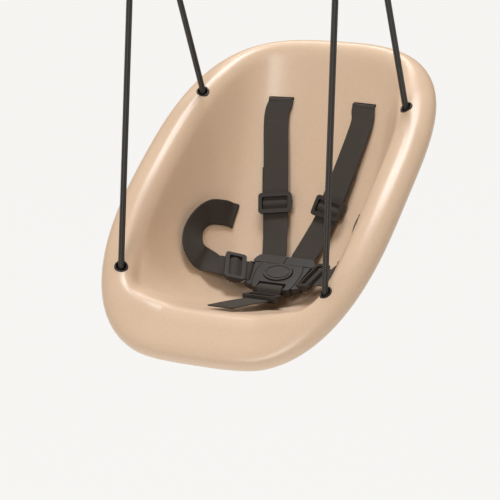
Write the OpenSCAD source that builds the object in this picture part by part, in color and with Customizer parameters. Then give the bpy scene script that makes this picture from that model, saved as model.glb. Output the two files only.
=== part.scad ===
// Toddler bucket swing: a moulded scoop seat on four rope legs, with a five-point harness.
// Millimetres. The origin is midway between the two hanger holes, +Z up, the child faces -Y.

/* [Seat rim] */
// Half of the seat's width, out to the rim's outermost edge
rim_half_w = 171.5; // [160:0.5:185]
// Distance of the seat's widest line behind the seat datum
rim_mid_y = 134; // [124:1:144]
// Distance from the widest line to the front edge
rim_front = 189; // [175:1:205]
// Distance from the widest line to the rear edge
rim_rear = 202; // [188:1:216]
// Squareness of the rim's outline, where 2 is an ellipse
rim_power = 2.9; // [2.5:0.05:3.2]
// Height of the rim's outermost edge beside the seat datum
rim_level = -27.7; // [-34:0.1:-22]
// Rise of the rim for each millimetre towards the back
rim_rise = 0.915; // [0.86:0.005:0.96]
// How fast that rise eases off towards the back
rim_ease = 0.00063; // [0.0004:0.00001:0.0009]
// Line in front of which the front lip levels out
lip_start_y = -47.5; // [-50:0.5:-44]
// Distance in which the lip levels out
lip_ease = 6.3; // [4:0.1:9]
// Width of the rim at the sides, from the outermost edge to the inner wall
rim_w = 46; // [42:0.5:52]
// Height of the rim's crown over its outermost edge
crown_h = 18; // [15:0.5:21]
// Distance of the crown inside the outermost edge
crown_in = 23; // [20:0.5:26]
// Depth of the rolled edge under the outermost line
edge_h = 8; // [6:0.5:10]

/* [Seat shell] */
// Wall thickness of the moulding
wall = 5; // [3.5:0.1:6]
// Deepest place of the floor behind the seat datum
floor_y = 128; // [120:1:134]
// Height of that place
floor_z = -65; // [-72:0.5:-60]

/* [Ropes] */
// Diameter of the braided rope
rope_d = 7; // [6:0.1:8]
// Angle round the rim of the front rope holes, from the front centre
front_hole_turn = 58; // [52:0.5:64]
// Angle round the rim of the rear rope holes, from the front centre
rear_hole_turn = 112; // [106:0.5:118]
// Diameter of the rope holes in the rim
rope_hole_d = 16; // [14:0.2:18]
// Free play of the rope in grommets, washers and ferrules, on the diameter
rope_play = 0.8; // [0.6:0.1:1.4]
// Height of a grommet's rounded ring over the rim
grommet_rise = 0.3; // [0:0.1:0.8]

/* [Hangers] */
// Height of the clevis pins over the seat datum
pin_z = 520; // [480:5:560]
// Distance of the clevis pins behind the seat datum
pin_y = 58; // [50:1:66]
// Distance of each hanger from the middle
hanger_x = 128; // [122:0.5:134]
// Diameter of the clevis pins
pin_d = 8; // [7:0.5:9]
// Height of the hanger hole over the clevis pin
eye_rise = 44; // [40:1:52]
// Diameter of the hanger hole
eye_d = 11; // [9:0.5:13]
// Width of a rope sheave
sheave_w = 10.5; // [10:0.1:12]
// Radius of the rope's middle line round a sheave
eye_bend = 14.2; // [13.5:0.1:16]
// Thickness of a hanger's ears
ear_t = 4; // [3:0.5:6]

/* [Harness] */
// Width of the webbing
strap_w = 31; // [28:0.5:33]
// Thickness of the webbing
strap_t = 1.8; // [1.4:0.1:2.2]
// Free play of the webbing in sliders and slots, on each side
strap_play = 0.5; // [0.4:0.1:0.8]
// Width of an adjuster across the strap
slider_w = 41; // [40:0.5:46]
// Length of an adjuster along the strap
slider_l = 25.5; // [22:0.5:28]
// Tilt of the buckle's face from level
buckle_tilt = 29; // [25:1:33]
// Distance of the buckle's button behind the seat datum
buckle_y = 159; // [157:0.5:160]
// Height of the buckle's button over the seat datum
buckle_z = -30; // [-31:0.25:-28]
// Thickness of the whole buckle
buckle_t = 11.5; // [11:0.25:12.5]
// Length of the oval button
button_l = 36; // [32:0.5:40]
// Width of the oval button
button_w = 27; // [24:0.5:30]
// Travel of the button
button_travel = 2; // [1.5:0.1:2.4]

/* [Hidden] */
$fn = 48;

// Running clearance between parts that turn or slide on each other
fit_gap = 0.08;
shell_colour = [0.86, 0.70, 0.54];
webbing_colour = [0.16, 0.155, 0.15];
plastic_colour = [0.17, 0.165, 0.16];
rope_colour = [0.13, 0.13, 0.13];
steel_colour = [0.62, 0.63, 0.65];

function unit(v) = v / norm(v);
function power(v, e) = sign(v) * pow(abs(v), e);
function ramp(a, b, x) = let (u = min(1, max(0, (x - a) / (b - a)))) u * u * (3 - 2 * u);
function bezier(p, u) = pow(1 - u, 3) * p[0] + 3 * u * pow(1 - u, 2) * p[1]
    + 3 * u * u * (1 - u) * p[2] + pow(u, 3) * p[3];

// Rim: the outermost edge at an angle round the seat, 0 at the front centre, 90 at +X
function rim_reach(a) = cos(a) > 0 ? rim_front : rim_rear;
function rim_x(a) = rim_half_w * power(sin(a), 2 / rim_power);
function rim_y(a) = rim_mid_y - rim_reach(a) * power(cos(a), 2 / rim_power);
function eased_y(y) = y > lip_start_y ? y : lip_start_y - lip_ease * (1 - exp((y - lip_start_y) / lip_ease));
function rim_z(y) = let (e = eased_y(y)) rim_level + rim_rise * e - rim_ease * e * e;
function rim_edge(a) = [rim_x(a), rim_y(a), rim_z(rim_y(a))];
function rim_out(a) = unit([power(rim_x(a) / rim_half_w, rim_power - 1) / rim_half_w,
    power((rim_y(a) - rim_mid_y) / rim_reach(a), rim_power - 1) / rim_reach(a), 0]);
function rim_up(a) = let (n = rim_out(a), climb = rim_z(rim_y(a) + 0.5) - rim_z(rim_y(a) - 0.5))
    cross(n, unit([-n[1], n[0], climb * n[0]]));

// Section of the rim, outwards and upwards from its outermost edge, at the sides, front and back.
// In order: inner wall end, roll handle, crown, crown handle, edge handle above, edge handle below,
// lower handle, lower end, wall direction inwards and down, roll length and wall share, floor length.
side_rim = [[-rim_w, -2], [-crown_in - 13, crown_h], [-crown_in, crown_h], [-10, crown_h], [0, 10],
    [0, -edge_h / 2], [-2, -edge_h], [-edge_h, -edge_h], [0.18, 0.98], [13, 0.6], [85, 0]];
front_rim = [[-52, 41], [-34, 38], [-24, 28.5], [-14, 19], [0, 9],
    [0, -edge_h / 2], [-2, -edge_h - 1], [-edge_h - 2, -edge_h - 2], [0.97, 0.24], [9, 0.4], [50, 0]];
back_rim = [[-36, -6], [-28, crown_h - 2], [-18, crown_h - 2], [-8, crown_h - 2], [0, 9],
    [0, -edge_h / 2], [-2, -edge_h], [-edge_h, -edge_h], [0.26, 0.96], [14, 0.36], [76, 0]];
floor_slope = 0.2;
floor_point = [0, floor_y, floor_z];
// How far the rim faces the front or back where its section starts to change and where it has changed:
// the roll, and the wall below it, whose rows in a section come last
front_roll = [0.45, 1];
front_wall = [0.05, 0.78];
back_turn = [0.35, 1];
wall_row = 8;
function change_share(change, facing) = ramp(change[0], change[1], facing);
function mixed_rim(f, b) = (1 - f - b) * side_rim + f * front_rim + b * back_rim;
function section(a) = let (n = rim_out(a), b = change_share(back_turn, n[1]),
        roll = mixed_rim(change_share(front_roll, -n[1]), b),
        below = mixed_rim(change_share(front_wall, -n[1]), b))
    [for (i = [0:len(roll) - 1]) i < wall_row ? roll[i] : below[i]];
function rim_point(a, q) = rim_edge(a) + q[0] * rim_out(a) + q[1] * rim_up(a);

// Seat surface: 0 at the floor, 1 at the top of the inner wall, 2 on the crown, 3 outermost, 4 lower edge
function seat_point(a, v) =
    let (s = section(a), n = rim_out(a), top = rim_point(a, s[0]),
         down = unit(-s[8][0] * n + [0, 0, -s[8][1]]),
         drop = s[9][1] * max(1, top[2] - floor_z) / max(0.1, -down[2]),
         along = [n[0], n[1], -floor_slope * n[1]])
    v <= 1 ? bezier([floor_point, floor_point + s[10][0] * along, top + drop * down, top], v)
    : v <= 2 ? bezier([top, top - s[9][0] * down, rim_point(a, s[1]), rim_point(a, s[2])], v - 1)
    : v <= 3 ? bezier([rim_point(a, s[2]), rim_point(a, s[3]), rim_point(a, s[4]), rim_edge(a)], v - 2)
    : bezier([rim_edge(a), rim_point(a, s[5]), rim_point(a, s[6]), rim_point(a, s[7])], v - 3);
function seat_normal(a, v) = unit(cross(seat_point(a, min(4, v + 0.02)) - seat_point(a, v - 0.02),
    seat_point(a + 1, v) - seat_point(a - 1, v)));

// Stations round the seat and rows from the floor to the lower edge of the rim
stations = 64;
rows = [0.15, 0.3, 0.45, 0.6, 0.74, 0.87, 1, 1.25, 1.5, 1.75, 2, 2.3, 2.6, 3, 3.5, 4];
function last(list) = len(list) - 1;

// Places on the seat: rope holes and strap slots, on the +X side
front_hole = seat_point(front_hole_turn, 1.99);
front_axis = seat_normal(front_hole_turn, 1.99);
rear_hole = seat_point(rear_hole_turn, 1.7);
rear_axis = seat_normal(rear_hole_turn, 1.7);
shoulder_slot = seat_point(165, 0.86);
shoulder_axis = seat_normal(165, 0.86);
waist_slot = seat_point(122, 0.582);
waist_axis = seat_normal(122, 0.582);
crotch_slot = seat_point(180, 0.17);
crotch_axis = seat_normal(180, 0.17);
waist_slot_turn = 28;
slot_room = 0.9;
slot_l = strap_w + 2 * strap_play;
slot_h = strap_t + 2 * strap_play + slot_room;

module side(s) { mirror([s < 0 ? 1 : 0, 0, 0]) children(); }
module hang() { translate([0, -pin_y, -pin_z - eye_rise]) children(); }
module stand(p, n) { translate(p) rotate([0, acos(unit(n)[2]), atan2(n[1], n[0])]) children(); }
// Directions that stand() gives to X and Y
function stand_x(n) = let (h = norm([n[0], n[1]])) [n[0] * n[2] / h, n[1] * n[2] / h, -h];
function stand_y(n) = let (h = norm([n[0], n[1]])) [-n[1] / h, n[0] / h, 0];
module in_buckle() { translate([0, buckle_y, buckle_z]) rotate([buckle_tilt, 0, 0]) children(); }
function from_buckle(p) = [p[0], buckle_y + p[1] * cos(buckle_tilt) - p[2] * sin(buckle_tilt),
    buckle_z + p[1] * sin(buckle_tilt) + p[2] * cos(buckle_tilt)];

// A plate with round corners, centred, standing on z = 0
module rounded_plate(w, l, h, r) {
    linear_extrude(h) {
        square([w - 2 * r, l], center = true);
        square([w, l - 2 * r], center = true);
        for (x = [-1, 1], y = [-1, 1]) translate([x * (w / 2 - r), y * (l / 2 - r)]) circle(r);
    }
}
function oval(l, w) = [for (i = [0:47]) [l / 2 * cos(7.5 * i), w / 2 * sin(7.5 * i)]];

// A smooth line through points, with steps between each two of them
function spline_at(p, i, u) =
    let (a = p[max(0, i - 1)], b = p[i], c = p[min(last(p), i + 1)], d = p[min(last(p), i + 2)])
    0.5 * (2 * b + (c - a) * u + (2 * a - 5 * b + 4 * c - d) * u * u + (3 * b - a - 3 * c + d) * u * u * u);
function spline(p, steps) = [for (i = [0:last(p) - 1]) for (k = [0:steps - 1])
    spline_at(p, i, k / steps), p[last(p)]];

// Rings of corners joined into one closed skin
module skin(rings) {
    n = len(rings[0]);
    m = len(rings);
    corners = [for (ring = rings) each ring];
    walls = [for (i = [0:m - 2]) for (k = [0:n - 1]) let (a = i * n + k, b = i * n + (k + 1) % n)
        each [[a, b + n, b], [a, a + n, b + n]]];
    first_end = [for (k = [1:n - 2]) [0, k, k + 1]];
    far = (m - 1) * n;
    last_end = [for (k = [1:n - 2]) [far, far + k + 1, far + k]];
    polyhedron(corners, concat(walls, first_end, last_end), convexity = 8);
}
function heading(p, i) = unit(p[min(last(p), i + 1)] - p[max(0, i - 1)]);

// Webbing along a line, with the direction of its width at each point
module webbing(line, widths, steps) {
    p = spline(line, steps);
    w = spline(widths, steps);
    skin([for (i = [0:last(p)])
        let (t = heading(p, i), across = unit(w[i] - (w[i] * t) * t), n = cross(t, across))
        [for (c = [[-1, -1], [1, -1], [1, 1], [-1, 1]])
            p[i] + c[0] * strap_w / 2 * across + c[1] * strap_t / 2 * n]]);
}

// A round tube along a line
module tube(p, d, sides) {
    skin([for (i = [0:last(p)])
        let (t = heading(p, i), u = unit(cross(t, [1, 0.02, 0.03])), v = cross(t, u))
        [for (k = [0:sides - 1]) p[i] + d / 2 * (cos(360 * k / sides) * u + sin(360 * k / sides) * v)]]);
}

// Length of the cutters for holes and slots, through the wall and clear of it on both sides
cut_depth = 6 * wall;
module seat_shell() {
    top = [for (i = [0:stations - 1]) for (v = rows) seat_point(360 * i / stations, v)];
    under = [for (i = [0:stations - 1]) for (v = rows)
        seat_point(360 * i / stations, v) - wall * seat_normal(360 * i / stations, v)];
    m = len(rows);
    n = stations * m;
    points = concat(top, under, [floor_point, floor_point - wall * unit([0, floor_slope, 1])]);
    quads = [for (i = [0:stations - 1]) for (j = [0:m - 2])
        [i * m + j, i * m + j + 1, ((i + 1) % stations) * m + j + 1, ((i + 1) % stations) * m + j]];
    upper = [for (q = quads) each [[q[0], q[2], q[1]], [q[0], q[3], q[2]]]];
    lower = [for (q = quads) each [[n + q[0], n + q[1], n + q[2]], [n + q[0], n + q[2], n + q[3]]]];
    brim = [for (i = [0:stations - 1]) let (a = i * m + m - 1, b = ((i + 1) % stations) * m + m - 1)
        each [[a, n + b, n + a], [a, b, n + b]]];
    centre = [for (i = [0:stations - 1]) let (a = i * m, b = ((i + 1) % stations) * m)
        each [[2 * n, b, a], [2 * n + 1, n + a, n + b]]];
    color(shell_colour) hang() difference() {
        polyhedron(points, concat(upper, lower, brim, centre), convexity = 10);
        for (s = [-1, 1]) side(s) {
            stand(front_hole, front_axis) cylinder(d = rope_hole_d, h = cut_depth, center = true);
            stand(rear_hole, rear_axis) cylinder(d = rope_hole_d, h = cut_depth, center = true);
            stand(shoulder_slot, shoulder_axis) cube([slot_h, slot_l, cut_depth], center = true);
            stand(waist_slot, waist_axis) rotate([0, 0, waist_slot_turn])
                cube([slot_l, slot_h, cut_depth], center = true);
        }
        stand(crotch_slot, crotch_axis) cube([slot_h, slot_l, cut_depth], center = true);
    }
}

// Bush that lines a rope hole, with a rounded ring round its wide mouth
neck_h = wall + 5;
rope_bore = rope_d + rope_play;
bush_gap = 0.2;
ring_r = 1.1;
mouth_depth = 5;
module grommet(p, n) {
    outer = rope_hole_d / 2 - bush_gap;
    ring_z = grommet_rise - ring_r;
    color(plastic_colour) hang() stand(p, n) rotate_extrude() {
        polygon([[rope_bore / 2, -neck_h], [outer, -neck_h], [outer, ring_z], [outer - 2 * ring_r, ring_z],
            [rope_bore / 2, -mouth_depth]]);
        translate([outer - ring_r, ring_z]) circle(ring_r);
    }
}
module front_left_grommet() { side(-1) grommet(front_hole, front_axis); }
module front_right_grommet() { side(1) grommet(front_hole, front_axis); }
module rear_left_grommet() { side(-1) grommet(rear_hole, rear_axis); }
module rear_right_grommet() { side(1) grommet(rear_hole, rear_axis); }

// Washer and stopper knot under the rim, on the rope's end
washer_t = 2.5;
washer_rim = 4.5;
knot_top = neck_h + washer_t + 0.4;
module on_each_hole() {
    for (s = [-1, 1]) side(s) hang() {
        stand(front_hole, front_axis) children();
        stand(rear_hole, rear_axis) children();
    }
}
module knot_washers() {
    color(steel_colour) on_each_hole() translate([0, 0, -neck_h - 0.2 - washer_t]) difference() {
        cylinder(d = rope_bore + 2 * washer_rim, h = washer_t);
        translate([0, 0, -1]) cylinder(d = rope_bore, h = washer_t + 2);
    }
}
module rope_knots() {
    color(rope_colour) on_each_hole() translate([0, 0, -knot_top]) rotate_extrude() {
        translate([0, -rope_d]) square([rope_d * 0.6, rope_d]);
        translate([rope_d * 0.6, -rope_d * 0.5]) circle(rope_d * 0.5);
        translate([rope_d * 0.45, -rope_d]) circle(rope_d * 0.45);
    }
}

// Rope legs: up from the knot, bent in the grommet's mouth, through the ferrule and round a sheave.
// The eye's points are distances below the pin and to its side.
ferrule_top = 46;
ferrule_l = 26;
strand = rope_d / 2 + 0.6;
eye_route = [[ferrule_top + ferrule_l + 4, strand], [ferrule_top - 2, strand], [34, 6.6], [20, 11.6],
    [9, 13.9], [0, eye_bend], [-7, 12.35], [-12.35, 7], [-eye_bend, 0], [-12.35, -7], [-7, -12.35],
    [0, -eye_bend], [9, -13.9], [20, -11.6], [34, -6.6], [ferrule_top - 2, -strand],
    [ferrule_top + ferrule_l - 2, -strand]];
sheave_gap = 1;
sheave_x = (sheave_w + sheave_gap) / 2;
front_pin = [hanger_x - sheave_x, pin_y, pin_z];
rear_pin = [hanger_x + sheave_x, pin_y, pin_z];
bend_rise = 1;
bend_l = 4;
function leg_bend(p, n) = p + bend_rise * n;
function leg_line(p, n, pin) = unit(leg_bend(p, n) - pin);
function leg_side(p, n, pin) = unit(cross(leg_line(p, n, pin), [1, 0, 0]));
function eye_point(p, n, pin, q) = pin + q[0] * leg_line(p, n, pin) + q[1] * leg_side(p, n, pin);
function leg_route(p, n, pin) =
    let (c = leg_bend(p, n), up = unit(eye_point(p, n, pin, eye_route[0]) - c))
    concat([p - (knot_top - 0.2) * n],
        [for (u = [0:0.25:1])
            pow(1 - u, 2) * (c - bend_l * n) + 2 * u * (1 - u) * c + u * u * (c + bend_l * up)],
        [for (q = eye_route) eye_point(p, n, pin, q)]);
module rope(p, n, pin) { color(rope_colour) hang() tube(leg_route(p, n, pin), rope_d, 10); }
module front_left_rope() { side(-1) rope(front_hole, front_axis, front_pin); }
module front_right_rope() { side(1) rope(front_hole, front_axis, front_pin); }
module rear_left_rope() { side(-1) rope(rear_hole, rear_axis, rear_pin); }
module rear_right_rope() { side(1) rope(rear_hole, rear_axis, rear_pin); }

// Crimped ferrule that closes a rope's eye, with a bore for each strand
module ferrule(p, n, pin) {
    down = leg_line(p, n, pin);
    translate(pin + ferrule_top * down) rotate([0, acos(down[2]), atan2(down[1], down[0])])
    rotate([0, 0, 90]) {
        difference() {
            linear_extrude(ferrule_l) {
                for (y = [-strand, strand]) translate([0, y]) circle(rope_bore / 2 + 2);
                square([rope_bore + 4, 2 * strand], center = true);
            }
            for (y = [-strand, strand]) translate([0, y, -1]) cylinder(d = rope_bore, h = ferrule_l + 2);
        }
    }
}
module rope_ferrules() {
    color(steel_colour) for (s = [-1, 1]) side(s) hang() {
        ferrule(front_hole, front_axis, front_pin);
        ferrule(rear_hole, rear_axis, rear_pin);
    }
}

// Grooved sheave that turns on the clevis pin
module rope_sheaves() {
    groove = eye_bend - rope_d / 2 - 0.8;
    flange = eye_bend - 0.4;
    color(plastic_colour) for (s = [-1, 1]) side(s) hang() for (pin = [front_pin, rear_pin])
        translate(pin) rotate([0, 90, 0]) rotate_extrude() polygon([[pin_d / 2 + fit_gap, -sheave_w / 2],
            [flange, -sheave_w / 2], [flange, -sheave_w / 2 + 1], [groove, -rope_d / 2 - 0.4],
            [groove, rope_d / 2 + 0.4], [flange, sheave_w / 2 - 1], [flange, sheave_w / 2],
            [pin_d / 2 + fit_gap, sheave_w / 2]]);
}

// Hanger: an eye over a fork that holds the clevis pin
fork_in = 2 * sheave_w + sheave_gap + 1;
fork_out = fork_in + 2 * ear_t;
ear_r = 9;
bridge_z = eye_bend + rope_d / 2 + 2.5;
bridge_h = 6;
eye_t = 9;
eye_r = eye_d / 2 + 6.5;
module hanger() {
    color(steel_colour) hang() translate([hanger_x, pin_y, pin_z]) difference() {
        union() {
            for (x = [-1, 1]) translate([x * (fork_in + ear_t) / 2 - ear_t / 2, 0, 0]) {
                rotate([0, 90, 0]) cylinder(r = ear_r, h = ear_t);
                translate([0, -ear_r, 0]) cube([ear_t, 2 * ear_r, bridge_z + bridge_h]);
            }
            translate([-fork_out / 2, -ear_r, bridge_z]) cube([fork_out, 2 * ear_r, bridge_h]);
            translate([-eye_r, -eye_t / 2, bridge_z]) cube([2 * eye_r, eye_t, eye_rise - bridge_z]);
            translate([0, 0, eye_rise]) rotate([90, 0, 0]) cylinder(r = eye_r, h = eye_t, center = true);
        }
        translate([0, 0, eye_rise]) rotate([90, 0, 0]) cylinder(d = eye_d, h = eye_t + 2, center = true);
        rotate([0, 90, 0]) cylinder(d = pin_d + 2 * fit_gap, h = fork_out + 2, center = true);
    }
}
module left_hanger() { side(-1) hanger(); }
module right_hanger() { side(1) hanger(); }

// Clevis pin with a head outside and a groove for its clip
head_t = 3.5;
pin_end = 3;
clip_t = 1.4;
clip_x = fork_out / 2 + 0.4;
module clevis_pins() {
    color(steel_colour) for (s = [-1, 1])
        side(s) hang() translate([hanger_x, pin_y, pin_z]) rotate([0, 90, 0])
        difference() {
            union() {
                translate([0, 0, -clip_x - clip_t - pin_end])
                    cylinder(d = pin_d, h = clip_x + clip_t + pin_end + fork_out / 2);
                translate([0, 0, fork_out / 2 + 0.2]) cylinder(d = pin_d + 6, h = head_t);
                translate([0, 0, fork_out / 2 - 1]) cylinder(d = pin_d, h = 2);
            }
            translate([0, 0, -clip_x - clip_t - 0.1]) difference() {
                cylinder(d = pin_d + 2, h = clip_t + 0.2);
                translate([0, 0, -1]) cylinder(d = pin_d - 2, h = clip_t + 3);
            }
        }
}
module pin_clips() {
    color(steel_colour) for (s = [-1, 1])
        side(s) hang() translate([hanger_x, pin_y, pin_z]) rotate([0, 90, 0])
        translate([0, 0, -clip_x - clip_t]) difference() {
            cylinder(d = pin_d + 6, h = clip_t);
            translate([0, 0, -1]) cylinder(d = pin_d - 2 + 2 * fit_gap, h = clip_t + 2);
            translate([-pin_d / 2 + 1.3, 0, -1]) cube([pin_d - 2.6, pin_d, clip_t + 2]);
        }
}

// Buckle: edges of the middle body, and the gap to the tongue heads round it
body_top = 15;
body_side = [[26.4, body_top], [27.9, 9.5], [28.9, 3], [29, -4], [28.2, -11], [26.8, -18], [25.8, -22.5]];
head_gap = 0.4;

// Shoulder straps: through the back, down past a slider and into the top edge of a tongue
shoulder_x = 19.4;
shoulder_low = from_buckle([shoulder_x, 33, -2.2]);
shoulder_mid = [35.5, 225, 37];
shoulder_run = unit([0.2, 0.424, 0.884]);
shoulder_travel = 40;
shoulder_across = unit(cross(shoulder_run, seat_normal(164, 0.52)));
slider_room = slider_l / 2 + 9;
module shoulder_strap() {
    line = [shoulder_slot - 15 * shoulder_axis, shoulder_slot - 8 * shoulder_axis,
        shoulder_slot - shoulder_axis, shoulder_slot + 3.4 * shoulder_axis - [0, 0, 1.4],
        shoulder_slot + 5.6 * shoulder_axis - [0, 0, 7], [56.5, 270, 134],
        shoulder_mid + (shoulder_travel + slider_l / 2 + 3) * shoulder_run,
        shoulder_mid + shoulder_travel / 2 * shoulder_run, shoulder_mid,
        shoulder_mid - (slider_l / 2 + 4) * shoulder_run, [25.3, 203, 0.5], shoulder_low,
        from_buckle([shoulder_x, 27.5, -3.7]), from_buckle([shoulder_x, 19.5, -4])];
    widths = [for (i = [0:last(line)]) i < 5 ? stand_y(shoulder_axis) : i < 10 ? shoulder_across : [1, 0, 0]];
    color(webbing_colour) hang() webbing(line, widths, 3);
}
module left_shoulder_strap() { side(-1) shoulder_strap(); }
module right_shoulder_strap() { side(1) shoulder_strap(); }

// Waist straps: out of the side of the back, round a loose loop and over the bar of a tongue.
// The tongue's slot leans outwards at its top.
waist_lean = 12;
waist_slot_l = slot_l + 0.6;
waist_slot_h = slot_h + 0.6;
waist_wall = 0.8;
waist_bar = [35, body_top - head_gap - (waist_slot_l / 2 + waist_wall) * cos(waist_lean)
    - waist_slot_h / 2 * sin(waist_lean)];
waist_low = from_buckle([waist_bar[0] + 5.6, waist_bar[1] - 1, 0.6]);
waist_run = unit(from_buckle([0.83, -0.32, 0.45]) - from_buckle([0, 0, 0]));
waist_far = waist_low + (slider_l + 11) * waist_run;
waist_bar_up = from_buckle([sin(waist_lean), cos(waist_lean), 0]) - from_buckle([0, 0, 0]);
waist_across = unit(cross(cross(waist_run, -waist_bar_up), waist_run));
waist_slot_up = -cos(waist_slot_turn) * stand_x(waist_axis) - sin(waist_slot_turn) * stand_y(waist_axis);
// The loose loop's points, from the slot in the shell
waist_loop = [[1.3, -7, 3.9], [5.4, -17.6, 8.1], [13, -34.4, 11.4], [17.2, -53.4, 7.4], [17.8, -69.4, -3],
    [13.4, -81.2, -16.6], [6.4, -81.8, -29.4], [0.6, -74.6, -36.6]];
module waist_strap() {
    line = [waist_slot - 14 * waist_axis, waist_slot - 7 * waist_axis, waist_slot - waist_axis,
        waist_slot + 3.2 * waist_axis + [0.5, 0, 0], each [for (q = waist_loop) waist_slot + q],
        waist_far, waist_far - 10 * waist_run, waist_low + 10 * waist_run, waist_low,
        from_buckle([waist_bar[0] + 2, waist_bar[1] - 0.5, -0.6]),
        from_buckle([waist_bar[0], waist_bar[1], -4]), from_buckle([waist_bar[0], waist_bar[1], -12])];
    widths = concat([for (i = [0:4]) waist_slot_up],
        [[-0.05, 0.35, 0.93], [0, 0.2, 0.97], [0.1, -0.25, 0.96], [0.3, -0.8, 0.5], [0.35, -0.93, 0],
            [0.2, -0.85, -0.4], [0, -0.75, -0.66]],
        [for (i = [0:3]) waist_across], [for (i = [0:2]) -waist_bar_up]);
    color(webbing_colour) hang() webbing(line, widths, 3);
}
module left_waist_strap() { side(-1) waist_strap(); }
module right_waist_strap() { side(1) waist_strap(); }

// Crotch strap: up through the floor, round the bar in the buckle's lower edge, through its slider
// and forward along the floor as a loose tail
crotch_bar_y = -20;
crotch_mid = [0, 115, -51];
crotch_run = unit([0, 0.989, -0.15]);
crotch_room = slider_l / 2 + 2.5;
module crotch_strap() {
    line = [crotch_slot - 14 * crotch_axis, crotch_slot - 7 * crotch_axis, crotch_slot - crotch_axis,
        crotch_slot + 3.2 * crotch_axis, from_buckle([0, crotch_bar_y + 3.8, -18.5]),
        from_buckle([0, crotch_bar_y + 0.4, -12]), from_buckle([0, crotch_bar_y - 0.3, -8]),
        from_buckle([0, crotch_bar_y, -4]), from_buckle([0, crotch_bar_y - 1.4, -0.6]),
        from_buckle([0, crotch_bar_y - 5, 0]), from_buckle([0, crotch_bar_y - 8.4, -0.4]),
        crotch_mid + crotch_room * crotch_run, crotch_mid + crotch_room / 3 * crotch_run,
        crotch_mid - crotch_room / 3 * crotch_run, crotch_mid - slider_room * crotch_run,
        [0, 70, -43.6], [0, 40, -38.8], [0, 10.5, -34.3]];
    color(webbing_colour) hang() webbing(line, [for (p = line) [1, 0, 0]], 3);
}

// Strap adjuster: a frame with a window in front of the strap, and a bar behind it
slider_front = 3.6;
slider_back = 2.2;
module slider() {
    inner = strap_w / 2 + strap_play;
    post = (slider_w - 2 * inner) / 2;
    near = strap_t / 2 + strap_play;
    color(plastic_colour) union() {
        translate([0, 0, near]) difference() {
            rounded_plate(slider_w, slider_l, slider_front, 4);
            translate([0, 0, -1]) rounded_plate(2 * inner, slider_l - 10, slider_front + 2, 2);
        }
        for (x = [-1, 1]) translate([x * (inner + post / 2), 0, 0])
            cube([post, slider_l - 9, 2 * near + 0.2], center = true);
        translate([0, 0, -near - slider_back]) rounded_plate(slider_w, slider_l - 16, slider_back, 2);
        for (x = [-1, 1]) translate([x * (inner + post / 2), 0, -near - slider_back / 2])
            cube([post, slider_l - 16, slider_back], center = true);
    }
}
// A slider's frame on a run: x across the strap, y up the run, z out of the strap's face
module on_run(p, run, across) {
    face = cross(across, run);
    multmatrix([[across[0], run[0], face[0], p[0]], [across[1], run[1], face[1], p[1]],
        [across[2], run[2], face[2], p[2]], [0, 0, 0, 1]]) children();
}
waist_mid = waist_low + (slider_l / 2 + 1.2) * waist_run;
module shoulder_slider() { hang() on_run(shoulder_mid, shoulder_run, shoulder_across) slider(); }
module left_shoulder_slider() { side(-1) shoulder_slider(); }
module right_shoulder_slider() { side(1) shoulder_slider(); }
module waist_slider() { hang() on_run(waist_mid, waist_run, waist_across) slider(); }
module left_waist_slider() { side(-1) waist_slider(); }
module right_waist_slider() { side(1) waist_slider(); }
module crotch_slider() { hang() on_run(crotch_mid, crotch_run, [1, 0, 0]) slider(); }

// Buckle: a middle body of cover and base, with the heads of four tongues round it
body_half = [[0, body_top], each body_side, [24.6, -25.4], [22.6, -27.2], [0, -27.5]];
body_outline = concat(body_half, [for (i = [last(body_half):-1:0]) [-body_half[i][0], body_half[i][1]]]);
split_z = -5;
button_gap = 0.3;
bar_edge = crotch_bar_y - slot_h / 2 - 0.9;
crotch_gap = [slot_l + 3, slot_h + 1.8];
module crotch_window(z, h) {
    translate([-crotch_gap[0] / 2, crotch_bar_y - crotch_gap[1] / 2, z])
        cube([crotch_gap[0], crotch_gap[1], h]);
}
module buckle_cover() {
    color(plastic_colour) hang() in_buckle() difference() {
        translate([0, 0, split_z]) linear_extrude(-split_z) polygon(body_outline);
        translate([0, 0, split_z - 1]) linear_extrude(-split_z + 2)
            polygon(oval(button_l + 2 * button_gap, button_w + 2 * button_gap));
        crotch_window(split_z - 1, -split_z + 2);
        translate([-crotch_gap[0] / 2, -30, -1.5]) cube([crotch_gap[0], 30 + bar_edge + 1, 3]);
    }
}
// The base takes the tongues' blades in pockets, and the button's flange and spring in a well
base_floor = 1.3;
base_h = buckle_t + split_z - 0.05;
pocket_gap = 0.3;
blade_z = split_z - 0.4;
blade_t = 3;
flange_t = 1.3;
flange_oval = [button_l + 3, button_w + 1.6];
module buckle_base() {
    color(plastic_colour) hang() in_buckle() difference() {
        translate([0, 0, -buckle_t]) linear_extrude(base_h) polygon(body_outline);
        for (s = [-1, 1]) mirror([s < 0 ? 1 : 0, 0, 0]) {
            shoulder_blade(pocket_gap, 4);
            waist_blade(pocket_gap, 4);
        }
        translate([0, 0, -buckle_t + base_floor]) linear_extrude(buckle_t)
            polygon(oval(flange_oval[0] + 2 * button_gap, flange_oval[1] + 2 * button_gap));
        crotch_window(-buckle_t - 1, buckle_t);
        translate([-crotch_gap[0] / 2, -30, -buckle_t - 1])
            cube([crotch_gap[0], 30 + bar_edge + 1, buckle_t]);
    }
}
spring_well = 14;
button_rise = 1.6;
button_skin = 2.4;
button_rim = 2.6;
groove_w = 1.2;
groove_h = 0.7;
module inset_oval(inset) { polygon(oval(button_l - 2 * inset, button_w - 2 * inset)); }
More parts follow.
